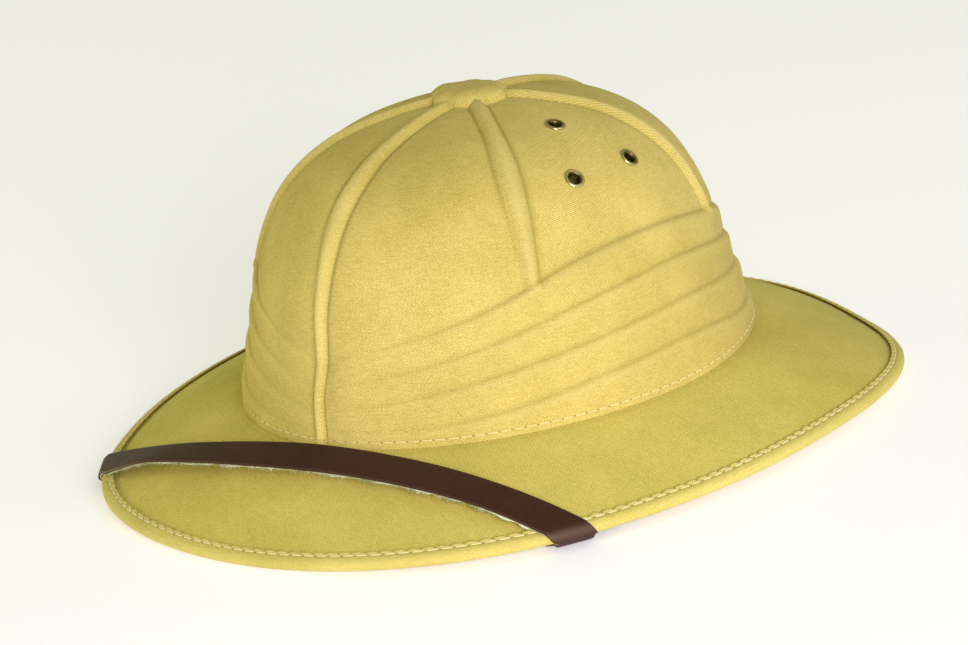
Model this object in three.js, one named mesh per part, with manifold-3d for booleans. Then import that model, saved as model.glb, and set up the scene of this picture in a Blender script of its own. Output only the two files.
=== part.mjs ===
// A pith helmet: a padded, moulded crown and brim covered in khaki twill, with a bound edge,
// brass eyelets and a leather chin strap that is turned up over the front of the brim.
//
// Millimetres, +Z up, the front towards -Y and the wearer's left towards +X.
// z = 0 is the surface that the brim's edge rests on, and x = 0, y = 0 is the middle of the
// whole hat seen from above. Angles go round from the front: 0 is the front, 90 the wearer's
// left, 180 the back. Both sides are alike, so tables give the left side only.
import * as THREE from 'three';
import { mergeVertices } from 'three/addons/utils/BufferGeometryUtils.js';
import Module from 'manifold-3d';

const wasm = await Module();
wasm.setup();

// The crown.
const crownLength = 211; // outside, at the seam with the brim
const crownWidth = 174; // outside, at the seam with the brim
const crownHeight = 93.5; // from the seam to the top, under the button
const crownLean = 0.8; // how far the top stands in front of the seam's middle
const crownWall = 3;
const crownWiden = 0.04; // how much broader the plan gets towards the top, as a share
const crownLengthen = 0.025; // and how much longer
const planExponent = 1.9; // 2 would be a true ellipse

// Six raised ribs run down from a button on top.
const ribWidth = 8;
const ribRise = 2;
const ribAngles = [0, 47, 120, 180, 240, 313];
const buttonDiameter = 27;
const buttonRise = 4;
const buttonEdge = 5; // how far the button's rounded edge reaches inwards

// Four wraps of a scarf are moulded into the crown's lower part, each a step further out.
const wrapHeight = 53; // from the seam to the top wrap, at the hat's side
const wrapStep = 1.7;
const wrapShoulder = 3; // height over which a step rounds outwards

// The brim slopes down all round from the seam to its bound edge.
const brimReach = 47.8; // from the seam out to the bound edge's middle, at the front
const brimDrop = 21.5; // from the seam down to the bound edge's middle, at the front
const brimBow = 1.2; // how far the brim bulges above a straight slope
const brimThickness = 2;
const collarHeight = 8; // a collar on the brim stands up inside the crown
const collarThickness = 1.6;

const bindingWidth = 3.2; // from its inner edge to the middle of its rounded fold
const bindingThickness = 1;
const restFlat = 0.4; // how much of the binding is pressed flat where the hat rests

const strapWidth = 13;
const strapThickness = 1.2;
const strapLift = 3.8; // how far the strap stands off the middle of the front brim
const strapBow = 10.5; // how far the strap's middle is pushed forwards
const strapSkew = 0.5; // and how much more of that is on the wearer's right, as a share
const strapLeftAngle = 42.7; // where the strap turns over the brim's edge
const strapRightAngle = 41.4;
const strapAnchorAngle = 76; // where its ends are sewn on, under the brim
const strapAnchorOut = 7; // and how far out from the seam

const eyeletDiameter = 7.4;
const eyeletHole = 4;
const eyeletTube = 0.5; // wall of the tube through the crown
const eyeletFlange = 0.7;
const eyeletSetBack = 13; // degrees that the wearer's right eyelets sit further back
const eyeletSetLow = 7; // and how far they sit lower

const fit = 0.3; // clearance between neighbouring pieces

// The crown's side as shares of its height and of its outline at the seam, under the wraps.
const DOME = [
  { rise: 0, reach: 0.925 },
  { rise: 0.25, reach: 0.891 },
  { rise: 0.5, reach: 0.851 },
  { rise: 0.745, reach: 0.724 },
  { rise: 0.906, reach: 0.517 },
  { rise: 0.99, reach: 0.222 },
  { rise: 1, reach: 0 },
];

// Heights of the four wraps' upper edges every 30 degrees, as shares of wrapHeight.
const WRAPS = [
  { angle: 0, top: 0.5, second: 0.335, third: 0.195, low: 0.085 },
  { angle: 30, top: 0.73, second: 0.53, third: 0.345, low: 0.135 },
  { angle: 60, top: 0.965, second: 0.715, third: 0.465, low: 0.24 },
  { angle: 90, top: 1, second: 0.775, third: 0.515, low: 0.28 },
  { angle: 120, top: 0.88, second: 0.67, third: 0.435, low: 0.175 },
  { angle: 150, top: 0.72, second: 0.53, third: 0.34, low: 0.13 },
  { angle: 180, top: 0.66, second: 0.48, third: 0.3, low: 0.12 },
];
const WRAP_LINES = ['low', 'third', 'second', 'top'];

// The brim every 30 degrees, as shares of brimReach and brimDrop.
const BRIM = [
  { angle: 0, reach: 1, drop: 1 },
  { angle: 30, reach: 1.09, drop: 0.885 },
  { angle: 60, reach: 0.928, drop: 0.83 },
  { angle: 90, reach: 0.883, drop: 0.785 },
  { angle: 120, reach: 1.04, drop: 0.8 },
  { angle: 150, reach: 0.945, drop: 1 },
  { angle: 180, reach: 1, drop: 1 },
];

// Three eyelets on each side, between the ribs, by their height as a share of the crown's.
const EYELETS = [
  { angle: 81.5, rise: 0.935 },
  { angle: 68.5, rise: 0.793 },
  { angle: 95, rise: 0.79 },
];

// How finely the solids are cut.
const ribCuts = [-1, -0.5, 0, 0.5, 1]; // across a rib, in half widths
const panelCuts = 8; // between two ribs
const domeCuts = 7; // from the wraps to the button
const innerCuts = 13; // up the crown's inside
const brimCuts = 3; // from the seam to the binding
const eyeletCuts = 14;

const rad = THREE.MathUtils.degToRad;
const clamp01 = (value) => Math.min(1, Math.max(0, value));
const smooth = (value) => clamp01(value) ** 2 * (3 - 2 * clamp01(value));

const bindingHalf = brimThickness / 2 + fit + bindingThickness;
const seamZ = brimDrop + bindingHalf - restFlat;
const middleY = (brimReach * (BRIM[0].reach - BRIM.at(-1).reach)) / 2;

// The value of a curve that runs smoothly through b and c, at share t of the way.
function between(a, b, c, d, t) {
  const bend = 2 * a - 5 * b + 4 * c - d + (3 * b - 3 * c + d - a) * t;
  return b + ((c - a + bend * t) * t) / 2;
}

// A column of a table with a row every 30 degrees. At the front it runs on evenly, or meets
// its mirror image in a point.
function roundTable(table, column, angle, pointed = false) {
  const turned = Math.abs(THREE.MathUtils.euclideanModulo(angle + 180, 360) - 180);
  const steps = table.length - 1;
  const place = (turned / 180) * steps;
  const row = Math.min(Math.floor(place), steps - 1);
  const value = (index) => table[index > steps ? 2 * steps - index : index][column];
  const before = pointed && row === 0 ? 2 * value(0) - value(1) : value(Math.abs(row - 1));
  return between(before, value(row), value(row + 1), value(row + 2), place - row);
}

// Half the crown's outline at a rise, from the middle out to an angle.
function planRadius(angle, rise) {
  const along = Math.abs(Math.cos(rad(angle))) / ((crownLength / 2) * (1 + crownLengthen * rise));
  const across = Math.abs(Math.sin(rad(angle))) / ((crownWidth / 2) * (1 + crownWiden * rise));
  return (along ** planExponent + across ** planExponent) ** (-1 / planExponent);
}

// The dome's rise and reach at share u of the way up its side.
function domeShare(u) {
  const steps = DOME.length - 1;
  const row = Math.min(Math.floor(u * steps), steps - 1);
  const at = (index, column) => {
    if (index < 0) return 2 * DOME[0][column] - DOME[1][column];
    if (index > steps) return DOME[2 * steps - index][column] * (column === 'reach' ? -1 : 1);
    return DOME[index][column];
  };
  const value = (column) =>
    between(
      at(row - 1, column),
      at(row, column),
      at(row + 1, column),
      at(row + 2, column),
      u * steps - row,
    );
  return { rise: value('rise'), reach: value('reach') };
}

// Where up the side a falling measure of the dome comes down to a wanted value.
function findU(measure, wanted) {
  let low = 0;
  let high = 1;
  for (let i = 0; i < 40; i++) {
    const middle = (low + high) / 2;
    if (measure(middle) > wanted) low = middle;
    else high = middle;
  }
  return low;
}

const uAtRise = (rise) => findU((u) => -domeShare(u).rise, -rise);

function sideRadius(angle, u) {
  const { rise, reach } = domeShare(u);
  return planRadius(angle, rise) * reach;
}

const uAtRadius = (angle, radius) => findU((u) => sideRadius(angle, u), radius);

function domePoint(angle, u) {
  const radius = sideRadius(angle, u);
  const { rise } = domeShare(u);
  return new THREE.Vector3(
    radius * Math.sin(rad(angle)),
    middleY - radius * Math.cos(rad(angle)) - crownLean * rise,
    seamZ + crownHeight * rise,
  );
}

// The way out of the dome. At the seam it is level, so that the crown's edge stays flat.
function domeNormal(angle, u) {
  const up = new THREE.Vector3(0, 0, 1);
  if (u > 0.999) return up;
  const step = 0.001;
  const round = domePoint(angle + 1, u).sub(domePoint(angle - 1, u));
  const rising = domePoint(angle, u + step).sub(domePoint(angle, Math.max(0, u - step)));
  const out = round.cross(rising).normalize();
  out.z *= smooth(domeShare(u).rise / 0.3);
  return out.normalize();
}

const wrapLine = (line, angle) => wrapHeight * roundTable(WRAPS, line, angle, true);

// How far each step has come out, a given height above the seam.
function wrapRelief(angle, height) {
  let relief = 0;
  let below = 0;
  for (const line of WRAP_LINES) {
    const edge = wrapLine(line, angle);
    const shoulder = Math.min(wrapShoulder, 0.7 * (edge - below));
    relief += wrapStep * Math.sin((Math.PI / 2) * clamp01((edge - height) / shoulder));
    below = edge;
  }
  return relief;
}

// A rib fades out under the top wrap, except the front one, which runs down over the wraps.
function ribRelief(angle, u) {
  const radius = Math.max(sideRadius(angle, u), buttonDiameter / 2);
  const height = crownHeight * domeShare(u).rise;
  const covered = clamp01((wrapLine('top', angle) - height) / wrapShoulder);
  let relief = 0;
  for (const ribAngle of ribAngles) {
    const turn = THREE.MathUtils.euclideanModulo(angle - ribAngle + 180, 360) - 180;
    const across = clamp01((2 * radius * Math.abs(rad(turn))) / ribWidth);
    const showing = ribAngle === 0 ? 1 : 1 - covered;
    relief = Math.max(relief, ribRise * showing * Math.cos((Math.PI / 2) * across) ** 2);
  }
  return relief;
}

function buttonRelief(angle, u) {
  const inwards = buttonDiameter / 2 - sideRadius(angle, u);
  return buttonRise * Math.sin((Math.PI / 2) * clamp01(inwards / buttonEdge));
}

function outerPoint(angle, u) {
  const height = crownHeight * domeShare(u).rise;
  const raised = Math.max(ribRelief(angle, u), buttonRelief(angle, u));
  const relief = raised + wrapRelief(angle, height);
  return domePoint(angle, u).addScaledVector(domeNormal(angle, u), relief);
}

// The crown's inside is smooth: below the wraps' top it flares out as far as their steps.
function innerPoint(angle, u, gap = 0) {
  const height = crownHeight * domeShare(u).rise;
  const flare = clamp01(1 - height / wrapLine('top', angle)) * WRAP_LINES.length * wrapStep;
  return domePoint(angle, u).addScaledVector(domeNormal(angle, u), flare - crownWall - gap);
}

// The angles of one row of the crown's grid. Ribs keep their width all the way up, so they
// take a larger share of the round near the top.
function rowAngles(uOf) {
  const half = ribAngles.map((angle) => {
    const radius = Math.max(sideRadius(angle, uOf(angle)), buttonDiameter / 2);
    return THREE.MathUtils.radToDeg(ribWidth / 2 / radius);
  });
  const angles = [];
  ribAngles.forEach((angle, i) => {
    for (const cut of ribCuts) angles.push(angle + cut * half[i]);
    const next = (i + 1) % ribAngles.length;
    const start = angle + half[i];
    const end = (next === 0 ? 360 : 0) + ribAngles[next] - half[next];
    for (let k = 1; k < panelCuts; k++) {
      angles.push(THREE.MathUtils.lerp(start, end, k / panelCuts));
    }
  });
  return angles;
}

const ringAt = (uOf, pointAt) => rowAngles(uOf).map((angle) => pointAt(angle, uOf(angle)));

// Joins rings of points, each with as many points as the next, into a closed mesh. The last
// ring meets the first, or each end is closed round a point of its own.
function loft(rings, ends = null) {
  const count = rings[0].length;
  const points = rings.flat();
  const faces = [];
  const last = ends ? rings.length - 1 : rings.length;
  for (let r = 0; r < last; r++) {
    for (let i = 0; i < count; i++) {
      const next = (i + 1) % count;
      const here = r * count;
      const there = ((r + 1) % rings.length) * count;
      faces.push(here + i, here + next, there + next);
      faces.push(here + i, there + next, there + i);
    }
  }
  if (ends) {
    const top = (rings.length - 1) * count;
    points.push(...ends);
    for (let i = 0; i < count; i++) {
      const next = (i + 1) % count;
      faces.push(points.length - 2, next, i);
      faces.push(points.length - 1, top + i, top + next);
    }
  }
  const geometry = new THREE.BufferGeometry().setFromPoints(points);
  geometry.setIndex(faces);
  return geometry;
}

// Booleans.
function solidOf(geometry) {
  const bare = geometry.clone();
  bare.deleteAttribute('normal');
  bare.deleteAttribute('uv');
  const merged = mergeVertices(bare, 1e-4);
  return new wasm.Manifold(
    new wasm.Mesh({
      numProp: 3,
      vertProperties: merged.attributes.position.array,
      triVerts: new Uint32Array(merged.index.array),
    }),
  );
}

function geometryOf(solid) {
  const { vertProperties, triVerts } = solid.getMesh();
  const geometry = new THREE.BufferGeometry();
  geometry.setAttribute('position', new THREE.BufferAttribute(vertProperties, 3));
  geometry.setIndex(new THREE.BufferAttribute(triVerts, 1));
  return geometry;
}

const cloth = new THREE.MeshStandardMaterial({ color: 0xe0cf70, roughness: 0.9 });
const brimCloth = new THREE.MeshStandardMaterial({ color: 0xcfc05a, roughness: 0.9 });
const leather = new THREE.MeshStandardMaterial({ color: 0x452a20, roughness: 0.55 });
const brass = new THREE.MeshStandardMaterial({ color: 0xa88f4a, roughness: 0.35, metalness: 1 });

const hat = new THREE.Group();

function add(name, geometry, material) {
  geometry.computeVertexNormals();
  const mesh = new THREE.Mesh(geometry, material);
  mesh.name = name;
  hat.add(mesh);
  return mesh;
}

// The crown's rows, from the seam up: three at each wrap's shoulder, even ones on the dome,
// then the button's rounded edge.
const wrapRow = (line, below, share) => (angle) => {
  const edge = wrapLine(line, angle);
  const under = below ? wrapLine(below, angle) : 0;
  const shoulder = Math.min(wrapShoulder, 0.7 * (edge - under));
  return uAtRise((edge - share * shoulder) / crownHeight);
};
const outerRows = [() => 0];
WRAP_LINES.forEach((line, i) => {
  for (const share of [1, 0.35, 0]) outerRows.push(wrapRow(line, WRAP_LINES[i - 1], share));
});
const buttonFoot = (angle) => uAtRadius(angle, buttonDiameter / 2);
for (let k = 1; k <= domeCuts; k++) {
  outerRows.push((angle) => {
    const start = wrapRow('top', null, 0)(angle);
    return THREE.MathUtils.lerp(start, buttonFoot(angle), k / domeCuts);
  });
}
for (const inwards of [buttonEdge / 2, buttonEdge, buttonDiameter / 3]) {
  outerRows.push((angle) => uAtRadius(angle, buttonDiameter / 2 - inwards));
}

const innerRows = [];
for (let k = 0; k < innerCuts; k++) {
  innerRows.push((angle) => THREE.MathUtils.lerp(0, buttonFoot(angle), k / (innerCuts - 1)));
}

// The crown's edge stands a little above the brim.
const raise = (point) => point.setZ(Math.max(point.z, seamZ + fit));
const crownRings = [
  ...innerRows.toReversed().map((uOf) => ringAt(uOf, innerPoint)),
  ...outerRows.map((uOf) => ringAt(uOf, outerPoint)),
];
crownRings.flat().forEach(raise);
const crownSolid = loft(crownRings, [innerPoint(0, 1), outerPoint(0, 1)]);

// Eyelets: a tube through the wall with a flange on each side.
const eyeletSeats = [];
for (const side of ['left', 'right']) {
  EYELETS.forEach(({ angle, rise }, i) => {
    const u = uAtRise(side === 'left' ? rise : rise - eyeletSetLow / crownHeight);
    const turned = side === 'left' ? angle : -angle - eyeletSetBack;
    const outwards = domeNormal(turned, u);
    const seat = { name: `eyelet_${side}_${i + 1}`, at: domePoint(turned, u), outwards };
    seat.turn = new THREE.Quaternion().setFromUnitVectors(new THREE.Vector3(0, 1, 0), outwards);
    eyeletSeats.push(seat);
  });
}

const tubeRadius = eyeletHole / 2 + eyeletTube;
const boreDepth = 4 * crownWall;
const bores = eyeletSeats.map((seat) => {
  const bore = new THREE.CylinderGeometry(tubeRadius + fit, tubeRadius + fit, boreDepth, 16);
  return bore.applyQuaternion(seat.turn).translate(...seat.at);
});
let bored = solidOf(crownSolid);
for (const bore of bores) bored = bored.subtract(solidOf(bore));
add('crown', geometryOf(bored), cloth);

// The curved wall falls away under a flange outside, and rises towards it inside.
const flangeRadius = eyeletDiameter / 2;
const innerSag = flangeRadius ** 2 / (crownHeight / 2);
const eyeletTop = fit + eyeletFlange;
const eyeletFoot = -crownWall - fit - innerSag;
const eyeletProfile = [
  [eyeletHole / 2, eyeletFoot - eyeletFlange],
  [flangeRadius, eyeletFoot - eyeletFlange],
  [flangeRadius, eyeletFoot],
  [tubeRadius, eyeletFoot],
  [tubeRadius, fit],
  [flangeRadius, fit],
  [flangeRadius - eyeletFlange / 3, fit + eyeletFlange * 0.7],
  [(flangeRadius + eyeletHole / 2) / 2, eyeletTop],
  [eyeletHole / 2, fit + eyeletFlange / 2],
  [eyeletHole / 2, eyeletFoot - eyeletFlange],
].map(([radius, height]) => new THREE.Vector2(radius, height));

for (const seat of eyeletSeats) {
  const eyelet = add(seat.name, new THREE.LatheGeometry(eyeletProfile, eyeletCuts), brass);
  eyelet.quaternion.copy(seat.turn);
  eyelet.position.copy(seat.at);
}

function polar(angle, radius, z) {
  return new THREE.Vector3(
    radius * Math.sin(rad(angle)),
    middleY - radius * Math.cos(rad(angle)),
    z,
  );
}

// The seam's outline without the front rib, which the brim doesn't follow.
function smoothSeam(angle) {
  const point = domePoint(angle, 0);
  return Math.hypot(point.x, point.y - middleY) + WRAP_LINES.length * wrapStep;
}

// The brim's middle surface: out from the seam by a share of its reach.
function brimPoint(angle, share) {
  const reach = brimReach * roundTable(BRIM, 'reach', angle);
  const start = seamZ - brimThickness / 2;
  const drop = brimDrop * roundTable(BRIM, 'drop', angle) - brimThickness / 2;
  const bow = 4 * brimBow * share * (1 - share);
  return polar(angle, smoothSeam(angle) + reach * share, start - drop * share + bow);
}

// The slope outwards, and the way up out of it.
function brimFrame(angle, share) {
  const step = 0.01;
  const out = brimPoint(angle, share + step).sub(brimPoint(angle, share - step)).normalize();
  const round = brimPoint(angle + 1, share).sub(brimPoint(angle - 1, share)).normalize();
  const up = new THREE.Vector3().crossVectors(out, round).normalize();
  if (up.z < 0) up.negate();
  const across = new THREE.Vector3().crossVectors(round, up).normalize();
  if (across.dot(out) < 0) across.negate();
  return { across, up, round };
}

// A point of the brim: out at a share of its reach, then up from its middle surface.
function onBrim(angle, share, height, outwards = 0) {
  const { across, up } = brimFrame(angle, share);
  return brimPoint(angle, share).addScaledVector(up, height).addScaledVector(across, outwards);
}

// Everything round the seam is cut at the same angles, so that facing walls stay parallel.
const roundAngles = rowAngles(() => 0);
const half = brimThickness / 2;
const collarU = uAtRise(collarHeight / crownHeight);

function collarPoint(angle, u, inwards, z) {
  const point = innerPoint(angle, u, fit + inwards);
  return point.setZ(z);
}

const brimSections = roundAngles.map((angle) => {
  const section = [
    collarPoint(angle, collarU, collarThickness, seamZ + collarHeight),
    collarPoint(angle, collarU, 0, seamZ + collarHeight),
    collarPoint(angle, 0, 0, seamZ),
    polar(angle, smoothSeam(angle), seamZ),
  ];
  for (let k = 1; k < brimCuts; k++) section.push(onBrim(angle, k / brimCuts, half));
  for (const [height, outwards] of [[half, -bindingWidth], [half, -fit]]) {
    section.push(onBrim(angle, 1, height, outwards));
  }
  for (const [height, outwards] of [[-half, -fit], [-half, -bindingWidth]]) {
    section.push(onBrim(angle, 1, height, outwards));
  }
  for (let k = brimCuts - 1; k > 0; k--) section.push(onBrim(angle, k / brimCuts, -half));
  section.push(
    polar(angle, smoothSeam(angle), seamZ - brimThickness),
    collarPoint(angle, 0, collarThickness, seamZ - brimThickness),
  );
  return section;
});
add('brim', loft(brimSections), brimCloth);

// The binding is folded round the edge; where the hat rests, it is pressed flat.
const slotHalf = half + fit;
const bindingSections = roundAngles.map((angle) => {
  const section = [];
  for (let k = 0; k <= 5; k++) {
    const turn = rad(90 - 36 * k);
    section.push(
      onBrim(angle, 1, bindingHalf * Math.sin(turn), bindingHalf * Math.cos(turn)),
    );
  }
  section.push(
    onBrim(angle, 1, -bindingHalf, -bindingWidth),
    onBrim(angle, 1, -slotHalf, -bindingWidth),
    onBrim(angle, 1, -slotHalf),
    onBrim(angle, 1, slotHalf),
    onBrim(angle, 1, slotHalf, -bindingWidth),
    onBrim(angle, 1, bindingHalf, -bindingWidth),
  );
  return section;
});
const below = new THREE.BoxGeometry(4 * crownLength, 4 * crownLength, 40).translate(0, 0, -20);
const restingBinding = solidOf(loft(bindingSections)).subtract(solidOf(below));
add('brim_binding', geometryOf(restingBinding), brimCloth);

// The strap's route, in steps: a point of its middle line, the way out of its face, the
// brim's edge that it folds round, and how far its cross section has turned to follow that.
const strapAway = bindingHalf + fit + strapThickness / 2;
const strapStart = (side) => side * (side > 0 ? strapLeftAngle : strapRightAngle);
const strapRight = onBrim(strapStart(-1), 1, strapAway);
const strapLeft = onBrim(strapStart(1), 1, strapAway);

// Over the front brim, from one edge to the other, bulging up and forwards.
function strapFront(share) {
  const middle = 4 * share * (1 - share);
  const at = strapRight.clone().lerp(strapLeft, share);
  at.y -= strapBow * middle * (1 + strapSkew * (1 - 2 * share));
  const angle = THREE.MathUtils.radToDeg(Math.atan2(at.x, middleY - at.y));
  const radius = Math.hypot(at.x, at.y - middleY);
  const reach = brimReach * roundTable(BRIM, 'reach', angle);
  const height = strapAway + strapLift * middle;
  let out = (radius - smoothSeam(angle)) / reach;
  const seat = onBrim(angle, out, height);
  out -= (Math.hypot(seat.x, seat.y - middleY) - radius) / reach;
  at.z = onBrim(angle, out, height).z;
  const side = share < 0.5 ? -1 : 1;
  const turned = smooth(1 - 4 * (0.5 - Math.abs(share - 0.5)));
  return { at, away: brimFrame(angle, out).up, edge: brimFrame(strapStart(side), 1).round, turned };
}

// Round the binding. It slants on towards the back as it goes under.
function strapTurn(side, share) {
  const start = strapStart(side);
  const leaving = strapLeft.clone().sub(strapRight).multiplyScalar(side);
  const rim = brimFrame(start, 1);
  const slant = Math.abs(leaving.dot(rim.round) / leaving.dot(rim.across));
  const degree = brimPoint(start + 1, 1).distanceTo(brimPoint(start, 1));
  const angle = start + (side * slant * Math.PI * strapAway * share) / degree;
  const { across, up, round } = brimFrame(angle, 1);
  const turn = Math.PI * (0.5 - share);
  const away = up.multiplyScalar(Math.sin(turn)).addScaledVector(across, Math.cos(turn));
  const at = brimPoint(angle, 1).addScaledVector(away, strapAway);
  return { at, away, edge: round, turned: 1 };
}

// Straight from there to where its end is sewn on, under the brim beside the seam.
function strapHidden(side, share) {
  const start = strapTurn(side, 1);
  const angle = side * strapAnchorAngle;
  const out = strapAnchorOut / (brimReach * roundTable(BRIM, 'reach', angle));
  const anchor = onBrim(angle, out, -(half + fit + strapThickness / 2));
  const away = start.away.lerp(brimFrame(angle, out).up.negate(), share).normalize();
  return { at: start.at.lerp(anchor, share), away, edge: start.edge, turned: smooth(1 - 3 * share) };
}

const frontCuts = 20;
const turnCuts = 6;
const hiddenCuts = 8;
const strapSteps = [];
for (let k = hiddenCuts; k > 0; k--) strapSteps.push(strapHidden(-1, k / hiddenCuts));
for (let k = turnCuts; k > 0; k--) strapSteps.push(strapTurn(-1, k / turnCuts));
for (let k = 0; k <= frontCuts; k++) strapSteps.push(strapFront(k / frontCuts));
for (let k = 1; k <= turnCuts; k++) strapSteps.push(strapTurn(1, k / turnCuts));
for (let k = 1; k <= hiddenCuts; k++) strapSteps.push(strapHidden(1, k / hiddenCuts));

const strapSections = strapSteps.map(({ at, away, edge, turned }, i) => {
  const before = strapSteps[Math.max(i - 1, 0)].at;
  const after = strapSteps[Math.min(i + 1, strapSteps.length - 1)].at;
  const square = after.clone().sub(before).cross(away).normalize();
  const across = square.clone().lerp(edge.clone().divideScalar(edge.dot(square)), turned);
  const corner = (side, face) =>
    at
      .clone()
      .addScaledVector(across, (side * strapWidth) / 2)
      .addScaledVector(away, (face * strapThickness) / 2);
  return [corner(-1, -1), corner(-1, 1), corner(1, 1), corner(1, -1)];
});
add('chin_strap', loft(strapSections, [strapSteps[0].at, strapSteps.at(-1).at]), leather);

export default hat;
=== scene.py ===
"""A pith helmet: moulded crown and brim covered in khaki twill, a bound and stitched edge,
brass eyelets and a dark leather chin strap turned up over the front of the brim.

Sizes below are millimetres, as in the solids; every mesh is made in metres. Angles go round
from the front: 0 is the front (-Y), 90 the wearer's left (+X), 180 the back.
"""
import math

import bpy
import numpy as np
from mathutils import Matrix, Vector


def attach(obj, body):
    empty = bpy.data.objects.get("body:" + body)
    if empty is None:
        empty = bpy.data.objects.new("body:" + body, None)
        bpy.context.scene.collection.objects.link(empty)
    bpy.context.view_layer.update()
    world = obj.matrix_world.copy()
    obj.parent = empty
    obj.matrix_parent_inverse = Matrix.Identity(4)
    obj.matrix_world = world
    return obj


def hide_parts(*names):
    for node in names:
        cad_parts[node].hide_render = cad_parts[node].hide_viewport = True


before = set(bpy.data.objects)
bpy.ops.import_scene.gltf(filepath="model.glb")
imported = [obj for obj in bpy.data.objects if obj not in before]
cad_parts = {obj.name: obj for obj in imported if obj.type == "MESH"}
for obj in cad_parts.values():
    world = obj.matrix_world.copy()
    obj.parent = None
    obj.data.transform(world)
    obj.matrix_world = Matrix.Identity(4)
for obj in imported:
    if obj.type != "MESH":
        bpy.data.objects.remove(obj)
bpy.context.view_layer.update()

MM = 0.001

# ---------------------------------------------------------------- sizes, as in the solids
crown_length, crown_width, crown_height = 211, 174, 93.5
crown_lean, crown_wall, plan_exponent = 0.8, 3, 1.9
crown_widen, crown_lengthen = 0.04, 0.025
rib_width, rib_rise = 8, 2
rib_angles = [0, 47, 120, 180, 231, 313]
button_radius, button_rise, button_edge = 13.5, 4, 5
wrap_height, wrap_step, wrap_shoulder = 53, 1.7, 3
brim_reach, brim_drop, brim_bow, brim_thickness = 47.8, 21.5, 1.2, 2
collar_height, collar_thickness = 8, 1.6
binding_width, binding_thickness, rest_flat = 3.2, 1, 0.4
strap_width, strap_thickness, strap_lift, strap_bow, strap_skew = 13, 1.2, 3.8, 10.5, 0.5
strap_left_angle, strap_right_angle, strap_anchor_angle, strap_anchor_out = 42.7, 41.4, 76, 7
eyelet_radius, eyelet_hole = 3.7, 2
fit = 0.3

DOME_RISE = [0, 0.25, 0.5, 0.745, 0.906, 0.99, 1]
DOME_REACH = [0.925, 0.891, 0.851, 0.724, 0.517, 0.222, 0]
WRAPS = {  # every 30 degrees, as shares of wrap_height
    "low": [0.085, 0.135, 0.24, 0.28, 0.175, 0.13, 0.12],
    "third": [0.195, 0.345, 0.465, 0.515, 0.435, 0.34, 0.3],
    "second": [0.335, 0.53, 0.715, 0.775, 0.67, 0.53, 0.48],
    "top": [0.5, 0.73, 0.965, 1, 0.88, 0.72, 0.66],
}
BRIM_REACHES = [1, 1.09, 0.928, 0.883, 1.04, 0.945, 1]
BRIM_DROPS = [1, 0.885, 0.83, 0.785, 0.8, 1, 1]
EYELETS = [(81.5, 0.935), (68.5, 0.793), (95, 0.79)]  # angle, rise
eyelet_set_back = 13  # degrees that the wearer's right eyelets sit further back
eyelet_set_low = 7  # and how far they sit lower

binding_half = brim_thickness / 2 + fit + binding_thickness
seam_z = brim_drop + binding_half - rest_flat

# ---------------------------------------------------------------- the hat's surfaces


def clamp01(x):
    return np.clip(x, 0.0, 1.0)


def smooth(x):
    x = clamp01(x)
    return x * x * (3 - 2 * x)


def turn_from(place, angle):
    """Degrees from a place round to an angle, from -180 to 180."""
    return (angle - place + 180) % 360 - 180


def run_length(points):
    """The length so far at each of a row of points."""
    return np.concatenate([[0], np.cumsum(np.linalg.norm(np.diff(points, axis=0), axis=1))])


def catmull(a, b, c, d, t):
    """A smooth curve's value between b and c, at t from 0 to 1."""
    bend = 2 * a - 5 * b + 4 * c - d + (3 * b - 3 * c + d - a) * t
    return b + ((c - a + bend * t) * t) / 2


def round_table(values, angle, pointed=False):
    """The value at an angle of a list that has one every 30 degrees, alike on both sides."""
    values = np.asarray(values, float)
    steps = len(values) - 1
    place = np.abs(turn_from(0, np.asarray(angle, float))) / 180 * steps
    row = np.minimum(place.astype(int), steps - 1)
    full = np.append(values, values[-2])
    before = full[np.abs(row - 1)]
    if pointed:
        before = np.where(row == 0, 2 * values[0] - values[1], before)
    return catmull(before, full[row], full[row + 1], full[row + 2], place - row)


def dome_share(u):
    """The dome's rise and reach, as shares, at a place from the hem (0) to the top (1)."""
    u = np.asarray(u, float)
    steps = len(DOME_RISE) - 1
    row = np.minimum((u * steps).astype(int), steps - 1)
    found = []
    for values, mirror in ((DOME_RISE, 1), (DOME_REACH, -1)):
        v = np.asarray(values, float)
        full = np.concatenate([[2 * v[0] - v[1]], v, [mirror * v[-2]]])
        found.append(catmull(*[full[row + k] for k in range(4)], u * steps - row))
    return found


fine_u = np.linspace(0, 1, 4001)
fine_rise, fine_reach = dome_share(fine_u)
mean_radius = 95
fine_arc = run_length(np.stack([fine_rise * crown_height, fine_reach * mean_radius], -1))


def u_at_height(height):
    return np.interp(height / crown_height, fine_rise, fine_u)


def polar_unit(angle):
    a = np.radians(angle)
    return np.stack([np.sin(a), -np.cos(a), np.zeros_like(a)], -1)


def plan_radius(angle, rise):
    a = np.radians(angle)
    along = np.abs(np.cos(a)) / (crown_length / 2 * (1 + crown_lengthen * rise))
    across = np.abs(np.sin(a)) / (crown_width / 2 * (1 + crown_widen * rise))
    return (along**plan_exponent + across**plan_exponent) ** (-1 / plan_exponent)


def side_radius(angle, u):
    rise, reach = dome_share(u)
    return plan_radius(angle, rise) * reach


def u_at_radius(angle, radius):
    low, high = np.zeros_like(angle), np.ones_like(angle)
    for _ in range(40):
        middle = (low + high) / 2
        above = side_radius(angle, middle) > radius
        low, high = np.where(above, middle, low), np.where(above, high, middle)
    return low


def dome_point(angle, u):
    rise, _ = dome_share(u)
    point = polar_unit(angle) * side_radius(angle, u)[..., None]
    point[..., 1] -= crown_lean * rise
    point[..., 2] = seam_z + crown_height * rise
    return point


def unit(v):
    return v / np.maximum(np.linalg.norm(v, axis=-1, keepdims=True), 1e-12)


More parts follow.
